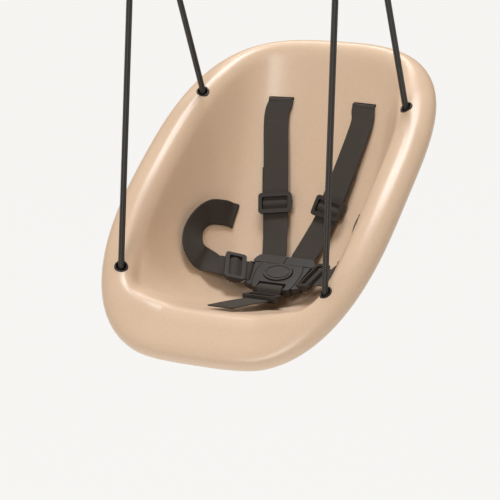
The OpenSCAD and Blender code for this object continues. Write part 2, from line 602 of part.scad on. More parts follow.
module release_button() {
    flange_z = split_z - 0.3 - flange_t;
    color(plastic_colour) hang() in_buckle() difference() {
        union() {
            translate([0, 0, flange_z]) linear_extrude(button_rise - flange_z)
                polygon(oval(button_l, button_w));
            translate([0, 0, flange_z]) linear_extrude(flange_t)
                polygon(oval(flange_oval[0], flange_oval[1]));
        }
        translate([0, 0, flange_z - 1])
            cylinder(d = spring_well, h = button_rise - button_skin - flange_z + 1);
        translate([0, 0, button_rise - groove_h]) linear_extrude(groove_h + 1) difference() {
            inset_oval(button_rim);
            inset_oval(button_rim + groove_w);
        }
    }
}
spring_turns = 3;
spring_r = 5;
spring_wire = 1.2;
spring_low = -buckle_t + base_floor + spring_wire / 2 + 0.1;
spring_high = button_rise - button_skin - button_travel - spring_wire / 2 - 0.1;
module button_spring() {
    wire = [for (i = [0:12 * spring_turns]) let (a = 30 * i, u = i / (12 * spring_turns))
        [spring_r * cos(a), spring_r * sin(a), spring_low + (spring_high - spring_low) * u]];
    color(steel_colour) hang() in_buckle() tube(wire, spring_wire, 6);
}
// Tongue heads: flush with the body in front, with a pocket or a slot for the strap
head_low = -9;
head_top = -0.4;
head_end = 29;
module shoulder_blade(grow, up) {
    translate([18 - grow, 9.4 - grow, blade_z - blade_t - grow]) cube([8 + 2 * grow, 7, blade_t + grow + up]);
}
module waist_blade(grow, up) {
    translate([22 - grow, -9 - grow, blade_z - blade_t - grow])
        cube([9.5, 14 + 2 * grow, blade_t + grow + up]);
}
module shoulder_tongue() {
    color(plastic_colour) hang() in_buckle() difference() {
        union() {
            translate([0, 0, head_low]) linear_extrude(head_top - head_low)
                polygon([[head_gap, body_top + head_gap], [38.6, body_top + head_gap], [40, 17.4], [38.3, 23],
                    [35.6, 27.2], [32, head_end], [head_gap, head_end]]);
            shoulder_blade(0, 0);
        }
        translate([shoulder_x - slot_l / 2, 18.5, -5.8]) cube([slot_l, 12, 3.9]);
        translate([shoulder_x - slot_l / 2, 24.5, -5.8]) cube([slot_l, 12, 4.6]);
    }
}
module left_shoulder_tongue() { side(-1) shoulder_tongue(); }
module right_shoulder_tongue() { side(1) shoulder_tongue(); }
// The strap lies on the bar outside the slot
bar_top = -2;
// A point beside the slot: across it outwards, and along it upwards
function by_bar(u, v) = waist_bar
    + u * [cos(waist_lean), -sin(waist_lean)] + v * [sin(waist_lean), cos(waist_lean)];
module waist_tongue() {
    inside = [for (i = [last(body_side):-1:1]) body_side[i] + [head_gap, 0]];
    corner = body_side[last(body_side)];
    end = waist_slot_l / 2;
    top = body_top - head_gap;
    color(plastic_colour) hang() in_buckle() difference() {
        union() {
            translate([0, 0, head_low]) linear_extrude(head_top - head_low)
                polygon([each inside, [body_side[0][0] + head_gap, top], by_bar(-1.2, end + 0.9),
                    by_bar(3.2, end + 2.2), by_bar(5.4, end + 0.6), by_bar(5.1, -end - 1.6),
                    by_bar(2.6, -end - 3), corner + [2.8, -1.6], corner + [head_gap, -1.2]]);
            waist_blade(0, 0);
        }
        translate([waist_bar[0], waist_bar[1], head_low - 1]) rotate([0, 0, -waist_lean])
            linear_extrude(12) square([waist_slot_h, waist_slot_l], center = true);
        translate([waist_bar[0], waist_bar[1], bar_top]) rotate([0, 0, -waist_lean])
            translate([0, -end, 0]) cube([10, waist_slot_l, 3]);
    }
}
module left_waist_tongue() { side(-1) waist_tongue(); }
module right_waist_tongue() { side(1) waist_tongue(); }

// Slotted plates behind the shell that keep the straps' sewn ends from pulling through
anchor_w = strap_w + 12;
anchor_l = 16;
anchor_t = 2.4;
anchor_slot = strap_t + 2 * strap_play;
module anchor(turned) {
    translate([0, 0, -wall - anchor_t - 1.6]) difference() {
        if (turned) rounded_plate(anchor_w, anchor_l, anchor_t, 3);
        else rounded_plate(anchor_l, anchor_w, anchor_t, 3);
        translate([0, 0, -1]) linear_extrude(anchor_t + 2)
            square(turned ? [slot_l, anchor_slot] : [anchor_slot, slot_l], center = true);
    }
}
module strap_anchors() {
    color(plastic_colour) hang() {
        for (s = [-1, 1]) side(s) {
            stand(shoulder_slot, shoulder_axis) anchor(false);
            stand(waist_slot, waist_axis) rotate([0, 0, waist_slot_turn]) anchor(true);
        }
        stand(crotch_slot, crotch_axis) anchor(false);
    }
}

seat_shell();
front_left_grommet();
front_right_grommet();
rear_left_grommet();
rear_right_grommet();
front_left_rope();
front_right_rope();
rear_left_rope();
rear_right_rope();
rope_knots();
knot_washers();
rope_sheaves();
rope_ferrules();
left_hanger();
right_hanger();
clevis_pins();
pin_clips();
left_shoulder_strap();
right_shoulder_strap();
left_waist_strap();
right_waist_strap();
crotch_strap();
left_shoulder_slider();
right_shoulder_slider();
left_waist_slider();
right_waist_slider();
crotch_slider();
buckle_cover();
buckle_base();
release_button();
button_spring();
left_shoulder_tongue();
right_shoulder_tongue();
left_waist_tongue();
right_waist_tongue();
strap_anchors();
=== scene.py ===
"""Toddler bucket swing: the looks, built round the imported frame.

Shapes are set out in millimetres from the seat datum, as in the part's source, and row() turns them into the
row frame's metres. The child faces -Y, +Z is up.
"""

import math

import bmesh
import bpy
import numpy as np
from mathutils import Matrix, Vector
from mathutils.bvhtree import BVHTree


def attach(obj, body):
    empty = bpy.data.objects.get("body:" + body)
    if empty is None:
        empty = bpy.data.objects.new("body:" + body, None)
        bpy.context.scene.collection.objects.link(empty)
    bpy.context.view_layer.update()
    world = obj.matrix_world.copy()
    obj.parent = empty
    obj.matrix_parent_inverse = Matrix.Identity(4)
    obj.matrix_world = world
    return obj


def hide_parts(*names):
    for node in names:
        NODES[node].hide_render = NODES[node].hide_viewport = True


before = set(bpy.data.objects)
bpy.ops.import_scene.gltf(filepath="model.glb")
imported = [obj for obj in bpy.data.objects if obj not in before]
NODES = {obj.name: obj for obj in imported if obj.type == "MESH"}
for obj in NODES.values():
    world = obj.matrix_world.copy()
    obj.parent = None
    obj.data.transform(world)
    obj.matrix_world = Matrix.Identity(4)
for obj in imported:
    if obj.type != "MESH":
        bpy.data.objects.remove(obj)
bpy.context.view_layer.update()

# The row frame's origin, seen from the seat datum, in mm
ORIGIN = np.array([0.0, 58.0, 564.0])
MM = 0.001


def row(p):
    """Points in mm from the seat datum, as metres in the row frame."""
    return (np.asarray(p, float) - ORIGIN) * MM


# Camera: the photo's turn and tilt, its distance and its focal length
CAMERA_TURN = math.radians(26.62)
CAMERA_TILT = math.radians(13.95)
CAMERA_AIM = (38.14, 31.87)
CAMERA_DISTANCE = 2000.0
CAMERA_LENS = 131.04
CAMERA_SENSOR = 36
CAMERA_REACH = 200

turn_c, turn_s = math.cos(CAMERA_TURN), math.sin(CAMERA_TURN)
tilt_c, tilt_s = math.cos(CAMERA_TILT), math.sin(CAMERA_TILT)
cam_right = np.array([turn_c, turn_s, 0.0])
cam_up = np.array([-turn_s * tilt_s, turn_c * tilt_s, tilt_c])
cam_back = np.array([turn_s * tilt_c, -turn_c * tilt_c, tilt_s])
cam_place = row(CAMERA_AIM[0] * cam_right + CAMERA_AIM[1] * cam_up + CAMERA_DISTANCE * cam_back)

camera_data = bpy.data.cameras.new("camera")
camera_data.sensor_width = CAMERA_SENSOR
camera_data.lens = CAMERA_LENS
camera_data.clip_end = CAMERA_REACH
camera = bpy.data.objects.new("camera", camera_data)
camera.matrix_world = Matrix([
    (cam_right[i], cam_up[i], cam_back[i], cam_place[i]) for i in range(3)
] + [(0, 0, 0, 1)])
bpy.context.scene.collection.objects.link(camera)
bpy.context.scene.camera = camera
bpy.context.scene.view_settings.view_transform = "Standard"


# Materials

def linear(rgb):
    """An sRGB colour of 0 to 255 as linear light."""
    out = []
    for c in rgb:
        c = c / 255
        out.append(c / 12.92 if c <= 0.04045 else ((c + 0.055) / 1.055) ** 2.4)
    return (*out, 1.0)


class Finish:
    """A procedural material: a Principled shader and the nodes that feed it."""

    def __init__(self, name, roughness, metallic=0.0):
        self.material = bpy.data.materials.new(name)
        self.material.use_nodes = True
        self.tree = self.material.node_tree
        self.shader = self.tree.nodes["Principled BSDF"]
        self.shader.inputs["Roughness"].default_value = roughness
        self.shader.inputs["Metallic"].default_value = metallic

    def node(self, kind, **values):
        made = self.tree.nodes.new(kind)
        for key, value in values.items():
            setattr(made, key, value)
        return made

    def link(self, source, target):
        self.tree.links.new(source, target)

    def noise(self, scale, detail=3.0, roughness=0.55):
        """Fine spots all over a piece, whatever its UVs."""
        place = self.node("ShaderNodeTexCoord")
        noise = self.node("ShaderNodeTexNoise")
        noise.inputs["Scale"].default_value = scale
        noise.inputs["Detail"].default_value = detail
        noise.inputs["Roughness"].default_value = roughness
        self.link(place.outputs["Object"], noise.inputs["Vector"])
        return noise.outputs["Fac"]

    def bands(self, scale, direction):
        """Stripes across a UV direction, for a weave."""
        place = self.node("ShaderNodeTexCoord")
        wave = self.node("ShaderNodeTexWave", wave_type="BANDS", bands_direction=direction)
        wave.inputs["Scale"].default_value = scale
        self.link(place.outputs["UV"], wave.inputs["Vector"])
        return wave.outputs["Fac"]

    def across_uv(self):
        """The first UV value, where the braid keeps its stitches' height."""
        place = self.node("ShaderNodeTexCoord")
        split = self.node("ShaderNodeSeparateXYZ")
        self.link(place.outputs["UV"], split.inputs["Vector"])
        return split.outputs["X"]

    def colours(self, factor, stops):
        """The base colour along a ramp of sRGB stops."""
        ramp = self.node("ShaderNodeValToRGB")
        while len(ramp.color_ramp.elements) < len(stops):
            ramp.color_ramp.elements.new(0.5)
        for element, (where, rgb) in zip(ramp.color_ramp.elements, stops):
            element.position = where
            element.color = linear(rgb)
        self.link(factor, ramp.inputs["Fac"])
        self.link(ramp.outputs["Color"], self.shader.inputs["Base Color"])

    def bump(self, height, strength, distance):
        bump = self.node("ShaderNodeBump")
        bump.inputs["Strength"].default_value = strength
        bump.inputs["Distance"].default_value = distance
        self.link(height, bump.inputs["Height"])
        self.link(bump.outputs["Normal"], self.shader.inputs["Normal"])

    def mixed(self, a, b, share):
        """A share of one value added to another."""
        mix = self.node("ShaderNodeMath", operation="MULTIPLY_ADD")
        mix.inputs[1].default_value = share
        self.link(a, mix.inputs[0])
        self.link(b, mix.inputs[2])
        return mix.outputs[0]


shell_finish = Finish("shell_plastic", 0.3)
shell_grain = shell_finish.noise(1400, 2.0, 0.6)
shell_finish.colours(
    shell_grain, [(0.36, (213, 187, 160)), (0.46, (225, 199, 173)), (0.7, (229, 204, 179))])
shell_finish.bump(shell_grain, 0.05, 0.0002)

webbing_finish = Finish("webbing", 0.85)
webbing_grain = webbing_finish.mixed(
    webbing_finish.bands(0.22, "Y"), webbing_finish.noise(2200, 2.0, 0.7), 0.5)
webbing_finish.colours(webbing_grain, [(0.3, (43, 39, 36)), (0.6, (56, 51, 47)), (0.95, (68, 63, 58))])
webbing_finish.bump(webbing_grain, 0.5, 0.0004)

plastic_finish = Finish("black_plastic", 0.5)
plastic_finish.shader.inputs["Specular IOR Level"].default_value = 0.3
plastic_grain = plastic_finish.noise(2600, 2.0, 0.6)
plastic_finish.colours(plastic_grain, [(0.3, (50, 47, 45)), (0.7, (58, 54, 51))])
plastic_finish.bump(plastic_grain, 0.12, 0.0002)

rubber_finish = Finish("grommet_rubber", 0.38)
rubber_grain = rubber_finish.noise(900, 2.0, 0.5)
rubber_finish.colours(rubber_grain, [(0.3, (33, 32, 31)), (0.7, (42, 40, 39))])

# The rope's colour follows the stitches' height, with a little grain: darker in the braid's valleys as
# painted shade, lighter on the crests as painted highlight.
rope_finish = Finish("rope_braid", 0.6)
rope_grain_and_braid_shade = rope_finish.mixed(rope_finish.noise(1800, 3.0, 0.7), rope_finish.across_uv(), 0.25)
rope_finish.colours(rope_grain_and_braid_shade, [(0.3, (8, 8, 8)), (0.6, (40, 38, 37)), (0.95, (92, 88, 83))])

zinc_finish = Finish("zinc_steel", 0.42, 1.0)
zinc_grain = zinc_finish.noise(160, 4.0, 0.6)
zinc_finish.colours(zinc_grain, [(0.3, (168, 170, 172)), (0.7, (196, 198, 200))])
zinc_finish.bump(zinc_finish.noise(1500), 0.08, 0.0002)

bright_finish = Finish("bright_steel", 0.22, 1.0)
bright_grain = bright_finish.noise(300, 3.0, 0.6)
bright_finish.colours(bright_grain, [(0.3, (188, 189, 191)), (0.7, (210, 211, 212))])


# Meshes

def piece(name, points, faces, finish, uvs=None):
    """A mesh piece from points in mm, with a UV in mm for each point where its finish needs one."""
    mesh = bpy.data.meshes.new(name)
    mesh.from_pydata(row(points).tolist(), [], faces)
    mesh.materials.append(finish.material)
    if uvs is not None:
        layer = mesh.uv_layers.new(name="UVMap")
        corner = np.empty(len(mesh.loops), np.int32)
        mesh.loops.foreach_get("vertex_index", corner)
        layer.data.foreach_set("uv", np.asarray(uvs, np.float32)[corner].ravel())
    mesh.polygons.foreach_set("use_smooth", np.full(len(mesh.polygons), True))
    mesh.update()
    made = bpy.data.objects.new(name, mesh)
    bpy.context.scene.collection.objects.link(made)
    return made


def grid_faces(rings, sides, closed=True):
    """Quads between rings of points, each ring closed round or open."""
    last = sides if closed else sides - 1
    return [
        (i * sides + k, i * sides + (k + 1) % sides, (i + 1) * sides + (k + 1) % sides, (i + 1) * sides + k)
        for i in range(rings - 1) for k in range(last)
    ]


def unit(v):
    v = np.asarray(v, float)
    return v / np.linalg.norm(v)


def spline(points, steps):
    """The smooth line that the part's source draws through points."""
    p = np.asarray(points, float)
    n = len(p)
    out = []
    for i in range(n - 1):
        a, b, c, d = p[max(0, i - 1)], p[i], p[min(n - 1, i + 1)], p[min(n - 1, i + 2)]
        for k in range(steps):
            u = k / steps
            out.append(0.5 * (2 * b + (c - a) * u + (2 * a - 5 * b + 4 * c - d) * u * u
                              + (3 * b - a - 3 * c + d) * u ** 3))
    out.append(p[-1])
    return np.array(out)


def lengths(p):
    """How far along a line each of its points is."""
    return np.concatenate([[0.0], np.cumsum(np.linalg.norm(np.diff(p, axis=0), axis=1))])


def resample(p, step):
    """The same line with even steps."""
    s = lengths(p)
    t = np.linspace(0, s[-1], max(2, int(round(s[-1] / step)) + 1))
    return np.stack([np.interp(t, s, p[:, i]) for i in range(3)], axis=1)


def eased(p, step, reach):
    """A line through straight stretches with its corners rounded over a few millimetres."""
    line = resample(np.asarray(p, float), step)
    half = int(round(reach / step))
    ends = np.pad(line, ((half, half), (0, 0)), mode="reflect", reflect_type="odd")
    total = np.cumsum(np.vstack([np.zeros((1, 3)), ends]), axis=0)
    return (total[2 * half + 1:] - total[:-2 * half - 1]) / (2 * half + 1)


def headings(p):
    """A line's direction at each of its points."""
    d = np.empty_like(p)
    d[1:-1] = p[2:] - p[:-2]
    d[0] = p[1] - p[0]
    d[-1] = p[-1] - p[-2]
    return d / np.linalg.norm(d, axis=1)[:, None]


def mirrored(p):
    """Points of a right-hand piece as those of its left-hand twin."""
    return np.asarray(p, float) * np.array([-1.0, 1.0, 1.0])


def finish_piece(made, body, slot, *nodes):
    """Rides a piece on its body and hides the CAD nodes it stands for; the slot argument is not used."""
    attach(made, body)
    if nodes:
        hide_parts(*nodes)
    return made


# The seat's form

RIM_HALF_W, RIM_MID_Y, RIM_FRONT, RIM_REAR, RIM_POWER = 171.5, 134.0, 189.0, 202.0, 2.9
RIM_LEVEL, RIM_RISE, RIM_EASE = -27.7, 0.915, 0.00063
LIP_START_Y, LIP_EASE = -47.5, 6.3
RIM_W, CROWN_H, CROWN_IN, EDGE_H = 46.0, 18.0, 23.0, 8.0
WALL = 5.0
FLOOR = np.array([0.0, 128.0, -65.0])
FLOOR_SLOPE = 0.2
LEAST_DROP, LEAST_FALL = 1.0, 0.1

# Rim sections as in the part's source: inner wall end, roll handle, crown, crown handle, edge handles,
# lower handle, lower end, wall direction, roll length and wall share, floor length
WALL_ROW, ROLL_ROW, FLOOR_ROW = 8, 9, 10
SIDE_RIM = np.array([
    (-RIM_W, -2), (-CROWN_IN - 13, CROWN_H), (-CROWN_IN, CROWN_H), (-10, CROWN_H), (0, 10),
    (0, -EDGE_H / 2), (-2, -EDGE_H), (-EDGE_H, -EDGE_H), (0.18, 0.98), (13, 0.6), (85, 0)])
FRONT_RIM = np.array([
    (-52, 41), (-34, 38), (-24, 28.5), (-14, 19), (0, 9),
    (0, -EDGE_H / 2), (-2, -EDGE_H - 1), (-EDGE_H - 2, -EDGE_H - 2), (0.97, 0.24), (9, 0.4), (50, 0)])
BACK_RIM = np.array([
    (-36, -6), (-28, CROWN_H - 2), (-18, CROWN_H - 2), (-8, CROWN_H - 2), (0, 9),
    (0, -EDGE_H / 2), (-2, -EDGE_H), (-EDGE_H, -EDGE_H), (0.26, 0.96), (14, 0.36), (76, 0)])

# How the side's section turns into the back's, the front's roll and the front's wall, by the rim's heading
BACK_TURN, FRONT_ROLL, FRONT_WALL = (0.35, 1), (0.45, 1), (0.05, 0.78)
ARCS = 4


def power(v, e):
    return math.copysign(abs(v) ** e, v)


def smooth_ramp(a, b, x):
    """0 at a and 1 at b, whichever is larger, with soft ends."""
    u = min(1.0, max(0.0, (x - a) / (b - a)))
    return u * u * (3 - 2 * u)


def bezier(p, u):
    w = 1 - u
    return w ** 3 * p[0] + 3 * u * w ** 2 * p[1] + 3 * u * u * w * p[2] + u ** 3 * p[3]


def rim_z(y):
    """The rim's height along the seat: level at the front lip, rising to the back."""
    if y <= LIP_START_Y:
        y = LIP_START_Y - LIP_EASE * (1 - math.exp((y - LIP_START_Y) / LIP_EASE))
    return RIM_LEVEL + RIM_RISE * y - RIM_EASE * y * y


def mixed_rim(front, back):
    return (1 - front - back) * SIDE_RIM + front * FRONT_RIM + back * BACK_RIM


class Station:
    """The seat's section at an angle round it, in degrees: 0 at the front centre, 90 at +X."""

    def __init__(self, angle):
        a = math.radians(angle)
        reach = RIM_FRONT if math.cos(a) > 0 else RIM_REAR
        x = RIM_HALF_W * power(math.sin(a), 2 / RIM_POWER)
        y = RIM_MID_Y - reach * power(math.cos(a), 2 / RIM_POWER)
        n = unit([power(x / RIM_HALF_W, RIM_POWER - 1) / RIM_HALF_W,
                  power((y - RIM_MID_Y) / reach, RIM_POWER - 1) / reach, 0])
        climb = rim_z(y + 0.5) - rim_z(y - 0.5)
        up = np.cross(n, unit([-n[1], n[0], climb * n[0]]))
        edge = np.array([x, y, rim_z(y)])
        back = smooth_ramp(*BACK_TURN, n[1])
        rows = mixed_rim(smooth_ramp(*FRONT_ROLL, -n[1]), back)
        rows[WALL_ROW:] = mixed_rim(smooth_ramp(*FRONT_WALL, -n[1]), back)[WALL_ROW:]
        at = [edge + q[0] * n + q[1] * up for q in rows]
        top = at[0]
        wall, (roll, share), floor = rows[WALL_ROW], rows[ROLL_ROW], rows[FLOOR_ROW][0]
        down = unit(-wall[0] * n + np.array([0, 0, -wall[1]]))
        drop = share * max(LEAST_DROP, top[2] - FLOOR[2]) / max(LEAST_FALL, -down[2])
        along = np.array([n[0], n[1], -FLOOR_SLOPE * n[1]])
        self.arcs = [
            (FLOOR, FLOOR + floor * along, top + drop * down, top),
            (top, top - roll * down, at[1], at[2]),
            (at[2], at[3], at[4], edge),
            (edge, at[5], at[6], at[7]),
        ]

    def point(self, v):
        """A point of the section: 0 in the floor's middle, 1 wall's end, 2 crown, 3 edge, 4 lower end."""
        arc = min(ARCS - 1, max(0, int(math.ceil(v)) - 1))
        return bezier(self.arcs[arc], v - arc)


NORMAL_STEP, NORMAL_TURN = 0.02, 1


def seat_point(angle, v):
    return Station(angle).point(v)


def seat_normal(angle, v):
    here = Station(angle)
    rise = here.point(min(float(ARCS), v + NORMAL_STEP)) - here.point(v - NORMAL_STEP)
    turn = seat_point(angle + NORMAL_TURN, v) - seat_point(angle - NORMAL_TURN, v)
    return unit(np.cross(rise, turn))


def stand(n):
    """The directions across and along that a piece standing on a normal gets."""
    h = math.hypot(n[0], n[1])
    return np.array([n[0] * n[2] / h, n[1] * n[2] / h, -h]), np.array([-n[1] / h, n[0] / h, 0])


# Holes and slots: the angle round the seat and the place along its section
FRONT_PLACE, REAR_PLACE = (58, 1.99), (112, 1.7)
SHOULDER_PLACE, WAIST_PLACE, CROTCH_PLACE = (165, 0.86), (122, 0.582), (180, 0.17)
FRONT_HOLE, FRONT_AXIS = seat_point(*FRONT_PLACE), seat_normal(*FRONT_PLACE)
REAR_HOLE, REAR_AXIS = seat_point(*REAR_PLACE), seat_normal(*REAR_PLACE)
SHOULDER_SLOT, SHOULDER_AXIS = seat_point(*SHOULDER_PLACE), seat_normal(*SHOULDER_PLACE)
WAIST_SLOT, WAIST_AXIS = seat_point(*WAIST_PLACE), seat_normal(*WAIST_PLACE)
CROTCH_SLOT, CROTCH_AXIS = seat_point(*CROTCH_PLACE), seat_normal(*CROTCH_PLACE)
WAIST_SLOT_TURN = math.radians(28)
STRAP_W, STRAP_T, STRAP_PLAY = 31.0, 1.8, 0.5
SLOT_L = STRAP_W + 2 * STRAP_PLAY
SLOT_ROOM = 0.9
SLOT_H = STRAP_T + 2 * STRAP_PLAY + SLOT_ROOM
ROPE_D, ROPE_HOLE_D = 7.0, 16.0


# Ropes: each leg's route, from its knot through the grommet and round the sheave

PIN_Y, PIN_Z, HANGER_X, SHEAVE_X = 58.0, 520.0, 128.0, 5.75
NECK_H = WALL + 5
KNOT_TOP = NECK_H + 2.9
EYE_BEND = 14.2
STRAND = ROPE_D / 2 + 0.6
FERRULE_TOP, FERRULE_L = 46.0, 26.0
EYE_ROUTE = [
    (FERRULE_TOP + FERRULE_L + 4, STRAND), (FERRULE_TOP - 2, STRAND), (34, 6.6), (20, 11.6), (9, 13.9),
    (0, EYE_BEND), (-7, 12.35), (-12.35, 7), (-EYE_BEND, 0), (-12.35, -7), (-7, -12.35), (0, -EYE_BEND),
    (9, -13.9), (20, -11.6), (34, -6.6), (FERRULE_TOP - 2, -STRAND), (FERRULE_TOP + FERRULE_L - 2, -STRAND)]
BEND_RISE, BEND_L, BEND_STEPS = 1.0, 4.0, 5
ROPE_OVER_KNOT = 0.2


def leg_route(p, n, pin):
    """A leg from its knot, through its hole, up to its eye round the pin."""
    bend = p + BEND_RISE * n
    line = unit(bend - pin)
    side = unit(np.cross(line, [1, 0, 0]))
    eye = [pin + q[0] * line + q[1] * side for q in EYE_ROUTE]
    up = unit(eye[0] - bend)
    turned = [(1 - u) ** 2 * (bend - BEND_L * n) + 2 * u * (1 - u) * bend + u * u * (bend + BEND_L * up)
              for u in np.linspace(0, 1, BEND_STEPS)]
    return np.array([p - (KNOT_TOP - ROPE_OVER_KNOT) * n] + turned + eye)


# The braid: columns of stitches round the rope, each column half a stitch on from the next
BRAID_COLUMNS = 8
BRAID_PITCH = 2.4
BRAID_DEPTH = 0.42
BRAID_MEAN = 0.6
STITCH_LEAN = 0.35
STITCH_EDGE = 0.35
ROPE_SIDES = 32
ROPE_STEP = 0.4
ROPE_EASE = 2.0
ROPE_ASIDE = [1.0, 0.02, 0.03]


def braided_tube(p, radius):
    """Rings of points round a line, with the braid's stitches standing out of it, and each point's height."""
    t = headings(p)
    u = np.cross(t, ROPE_ASIDE)
    u /= np.linalg.norm(u, axis=1)[:, None]
    v = np.cross(t, u)
    s = lengths(p)[:, None]
    phi = np.linspace(0, 2 * math.pi, ROPE_SIDES, endpoint=False)[None, :]
    column = phi * BRAID_COLUMNS / (2 * math.pi)
    within = column - np.floor(column)
    shift = 0.5 * (np.floor(column) % 2) + STITCH_LEAN * np.abs(within - 0.5)
    stitch = np.abs(np.sin(math.pi * (s / BRAID_PITCH + shift)))
    height = stitch * (STITCH_EDGE + (1 - STITCH_EDGE) * np.sin(math.pi * within))
    r = radius + BRAID_DEPTH * (height - BRAID_MEAN)
    points = p[:, None, :] + r[:, :, None] * (np.cos(phi)[:, :, None] * u[:, None, :]
                                              + np.sin(phi)[:, :, None] * v[:, None, :])
    # The height goes into the UVs, where the rope's colour turns it into painted shade in the valleys and a
    # painted highlight on the crests.
    uvs = np.stack([height, np.broadcast_to(s, height.shape)], axis=2)
    return points.reshape(-1, 3), uvs.reshape(-1, 2)


def tube_faces(rings):
    """Quads along a rope and a cap on each end."""
    first = tuple(range(ROPE_SIDES - 1, -1, -1))
    last = tuple((rings - 1) * ROPE_SIDES + k for k in range(ROPE_SIDES))
    return grid_faces(rings, ROPE_SIDES) + [first, last]


ROPES = [
    ("front_right", FRONT_HOLE, FRONT_AXIS, HANGER_X - SHEAVE_X, 1),
    ("front_left", FRONT_HOLE, FRONT_AXIS, HANGER_X - SHEAVE_X, -1),
    ("rear_right", REAR_HOLE, REAR_AXIS, HANGER_X + SHEAVE_X, 1),
    ("rear_left", REAR_HOLE, REAR_AXIS, HANGER_X + SHEAVE_X, -1),
]
for where, hole, axis, pin_x, hand in ROPES:
    route = leg_route(hole, axis, np.array([pin_x, PIN_Y, PIN_Z]))
    if hand < 0:
        route = mirrored(route)
    path = eased(route, ROPE_STEP, ROPE_EASE)
    points, uvs = braided_tube(path, ROPE_D / 2)
    rope = piece(where + "_rope_braid", points, tube_faces(len(path)), rope_finish, uvs)
    finish_piece(rope, "seat", "rope_braid", where + "_rope")


# Stopper knots under the rim: an overhand knot on each rope's end
KNOT_R = 3.3
KNOT_SPAN, KNOT_STEPS = (-0.30 * math.pi, 1.70 * math.pi), 90
KNOT_W, KNOT_H, KNOT_DROP = 2.5, 3.0, 5.6
KNOT_STEP = 0.8


def knot_line(p, n):
    """A trefoil's line under a rope hole, opened where the rope comes in."""
    across, along = stand(n)
    t = np.linspace(*KNOT_SPAN, KNOT_STEPS)
    out = (2 + np.cos(3 * t)) * np.cos(2 * t)
    side = (2 + np.cos(3 * t)) * np.sin(2 * t)
    deep = np.sin(3 * t)
    middle = p - (KNOT_TOP + KNOT_DROP) * n
    return middle + KNOT_W * (out[:, None] * across + side[:, None] * along) + KNOT_H * deep[:, None] * n


knot_points, knot_uvs, knot_faces = [], [], []
for hole, axis in ((FRONT_HOLE, FRONT_AXIS), (REAR_HOLE, REAR_AXIS)):
    line = resample(knot_line(hole, axis), KNOT_STEP)
    points, uvs = braided_tube(line, KNOT_R)
    for hand in (1, -1):
        start = sum(len(q) for q in knot_points)
        for face in tube_faces(len(line)):
            knot_faces.append(tuple(start + k for k in (face if hand > 0 else face[::-1])))
        knot_points.append(points if hand > 0 else mirrored(points))
        knot_uvs.append(uvs)
knots = piece(
    "stopper_knots", np.concatenate(knot_points), knot_faces, rope_finish, np.concatenate(knot_uvs))
finish_piece(knots, "seat", "rope_braid", "rope_knots")


# Shell: one smooth skin over the seat's form, an inner skin under it and a rounded lower edge

STATIONS = 176
STATION_ANGLES = [360 * i / STATIONS for i in range(STATIONS)]
ROW_VALUES = np.concatenate([
    np.linspace(0.035, 1, 26), np.linspace(1.08, 2, 12), np.linspace(2.1, 3, 10), np.linspace(3.14, 4, 7)])
ROW_STEP = 0.01
LIP_STEPS = 5

# The front: how far it reaches round the seat, the rows with evened heights and those of the softened roll
FRONT_END, FRONT_FULL = 55, 40
EVEN_END, EVEN_FULL = 1.8, 1.0
EVEN_REACH, EVEN_SPREAD = 16, 6.0
SOFT_IN, SOFT_OUT, SOFT_TIMES = (0.6, 0.9), (1.9, 1.5), 14
FRONT_SHARE = np.array([
    smooth_ramp(FRONT_END, FRONT_FULL, abs((a + 180) % 360 - 180)) for a in STATION_ANGLES])


def even_front(skin):
    """Evens the floor's height at the front from station to station, so no ridges run to the corners."""
    reach = range(-EVEN_REACH, EVEN_REACH + 1)
    shares = [math.exp(-0.5 * (k / EVEN_SPREAD) ** 2) for k in reach]
    height = skin[:, :, 2]
    even = sum(w * np.roll(height, k, axis=1) for w, k in zip(shares, reach)) / sum(shares)
    inner = np.array([smooth_ramp(EVEN_END, EVEN_FULL, v) for v in ROW_VALUES])
    skin[:, :, 2] += inner[:, None] * FRONT_SHARE[None, :] * (even - height)


def soft_roll(skin):
    """How far each point moves to make the lip's inner roll at the front wider and softer."""
    soft = skin.copy()
    for _ in range(SOFT_TIMES):
        soft[1:-1] = 0.25 * soft[:-2] + 0.5 * soft[1:-1] + 0.25 * soft[2:]
    roll = np.array([smooth_ramp(*SOFT_IN, v) * smooth_ramp(*SOFT_OUT, v) for v in ROW_VALUES])
    return (roll[:, None] * FRONT_SHARE[None, :])[:, :, None] * (soft - skin)


def shell_rings():
    """Points round the seat, row by row: top skin outwards, round the lower edge, under skin inwards."""
    stations = [Station(a) for a in STATION_ANGLES]
    top = np.array([[s.point(v) for s in stations] for v in ROW_VALUES])
    before = np.array([[s.point(v - ROW_STEP) for s in stations] for v in ROW_VALUES])
    after = np.array([[s.point(min(float(ARCS), v + ROW_STEP)) for s in stations] for v in ROW_VALUES])
    for skin in (top, before, after):
        even_front(skin)
    shift = soft_roll(top)
    for skin in (top, before, after):
        skin += shift
    turn = np.roll(top, -1, axis=1) - np.roll(top, 1, axis=1)
    normal = np.cross(after - before, turn)
    normal /= np.linalg.norm(normal, axis=2)[:, :, None]
    under = top - WALL * normal
    rise = after[-1] - before[-1]
    rise /= np.linalg.norm(rise, axis=1)[:, None]
    lip = []
    for k in range(1, LIP_STEPS):
        a = math.pi * k / LIP_STEPS
        turned = math.cos(a) * normal[-1] + math.sin(a) * rise
        lip.append(top[-1] - WALL / 2 * normal[-1] + WALL / 2 * turned)
    return np.concatenate([top, np.array(lip), under[::-1]])


